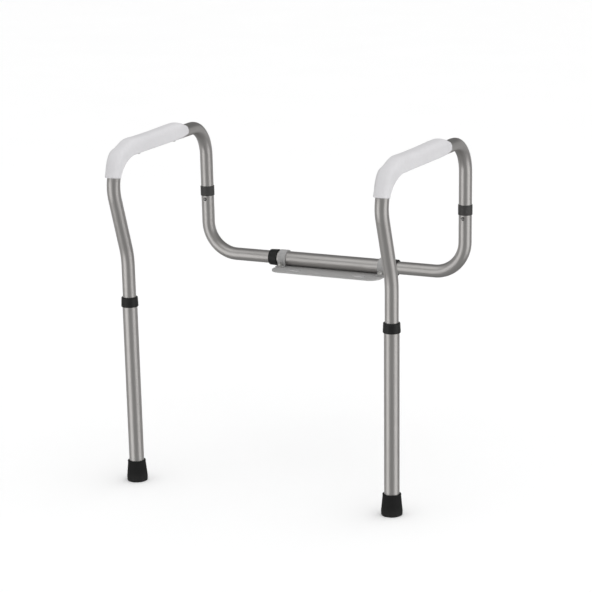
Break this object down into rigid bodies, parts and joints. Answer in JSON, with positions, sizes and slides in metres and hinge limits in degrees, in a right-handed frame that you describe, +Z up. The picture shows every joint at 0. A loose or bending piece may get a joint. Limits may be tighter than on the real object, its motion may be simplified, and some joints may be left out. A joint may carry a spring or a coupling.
{
  "type": "toilet safety frame",
  "caption": "Toilet safety frame: padded bent-tube arm rails on telescoping front legs, joined behind the seat by a sliding sleeve and a slotted plate for the seat bolts.",
  "frame": {"origin": "on the floor, below the middle of the frame's box", "axes": "+Z up, +Y to the rear, towards the toilet tank, +X to the right seen from the front"},
  "size_m": [0.5954, 0.4324, 0.6706],
  "materials": {
    "rail_aluminium": "satin anodised tube",
    "arm_pad": "moulded white pad",
    "grey_plastic": "dark grey ring",
    "black_plastic": "black collar",
    "foot_rubber": "matt black rubber",
    "zinc_steel": "zinc plated",
    "button_steel": "polished steel",
    "spring_steel": "spring steel strip",
    "plate_steel": "grey powder coat"
  },
  "bodies": {
    "centre": {"cross_sleeve": "rail_aluminium", "left_sleeve_collar": "black_plastic", "right_sleeve_collar": "black_plastic", "mount_plate": "plate_steel", "sleeve_saddles": "plate_steel", "saddle_screws": "zinc_steel", "saddle_washers": "zinc_steel", "saddle_nuts": "zinc_steel"},
    "left_rail": {"left_rear_tube": "rail_aluminium", "left_arm_rail": "rail_aluminium", "left_arm_pad": "arm_pad", "left_pad_screws": "zinc_steel", "left_rear_collar": "grey_plastic", "left_rear_spring": "spring_steel", "left_leg_spring": "spring_steel", "left_width_spring": "spring_steel"},
    "left_leg": {"left_leg_tube": "rail_aluminium", "left_leg_collar": "black_plastic", "left_foot_tip": "foot_rubber", "left_foot_washer": "zinc_steel"},
    "left_rear_snap": {"left_rear_button": "button_steel"},
    "left_leg_snap": {"left_leg_button": "button_steel"},
    "left_width_snap": {"left_width_button": "button_steel"},
    "right_rail": {"right_rear_tube": "rail_aluminium", "right_arm_rail": "rail_aluminium", "right_arm_pad": "arm_pad", "right_pad_screws": "zinc_steel", "right_rear_collar": "grey_plastic", "right_rear_spring": "spring_steel", "right_leg_spring": "spring_steel", "right_width_spring": "spring_steel"},
    "right_leg": {"right_leg_tube": "rail_aluminium", "right_leg_collar": "black_plastic", "right_foot_tip": "foot_rubber", "right_foot_washer": "zinc_steel"},
    "right_rear_snap": {"right_rear_button": "button_steel"},
    "right_leg_snap": {"right_leg_button": "button_steel"},
    "right_width_snap": {"right_width_button": "button_steel"}
  },
  "joints": [
    {"name": "left_width_slide", "type": "slide", "parent": "centre", "child": "left_rail", "axis": [-1, 0, 0], "range_m": [-0.0381, 0.0381]},
    {"name": "left_height_slide", "type": "slide", "parent": "left_rail", "child": "left_leg", "axis": [0.0091, 0.0002, -1], "range_m": [-0.0254, 0.127]},
    {"name": "left_rear_press", "type": "slide", "parent": "left_rail", "child": "left_rear_snap", "axis": [-0.0182, 0.9998, 0], "range_m": [0, 0.004], "stiffness_N_per_m": 1500, "springref_m": -0.004, "deforming": ["left_rear_spring"]},
    {"name": "left_leg_press", "type": "slide", "parent": "left_rail", "child": "left_leg_snap", "axis": [0.0182, -0.9998, 0], "range_m": [0, 0.004], "stiffness_N_per_m": 1500, "springref_m": -0.004, "deforming": ["left_leg_spring"]},
    {"name": "left_width_press", "type": "slide", "parent": "left_rail", "child": "left_width_snap", "axis": [0, -1, 0], "range_m": [0, 0.004], "stiffness_N_per_m": 1500, "springref_m": -0.004, "deforming": ["left_width_spring"]},
    {"name": "right_width_slide", "type": "slide", "parent": "centre", "child": "right_rail", "axis": [1, 0, 0], "range_m": [-0.0381, 0.0381]},
    {"name": "right_height_slide", "type": "slide", "parent": "right_rail", "child": "right_leg", "axis": [-0.0091, 0.0002, -1], "range_m": [-0.0254, 0.127]},
    {"name": "right_rear_press", "type": "slide", "parent": "right_rail", "child": "right_rear_snap", "axis": [0.0182, 0.9998, 0], "range_m": [0, 0.004], "stiffness_N_per_m": 1500, "springref_m": -0.004, "deforming": ["right_rear_spring"]},
    {"name": "right_leg_press", "type": "slide", "parent": "right_rail", "child": "right_leg_snap", "axis": [-0.0182, -0.9998, 0], "range_m": [0, 0.004], "stiffness_N_per_m": 1500, "springref_m": -0.004, "deforming": ["right_leg_spring"]},
    {"name": "right_width_press", "type": "slide", "parent": "right_rail", "child": "right_width_snap", "axis": [0, -1, 0], "range_m": [0, 0.004], "stiffness_N_per_m": 1500, "springref_m": -0.004, "deforming": ["right_width_spring"]}
  ]
}
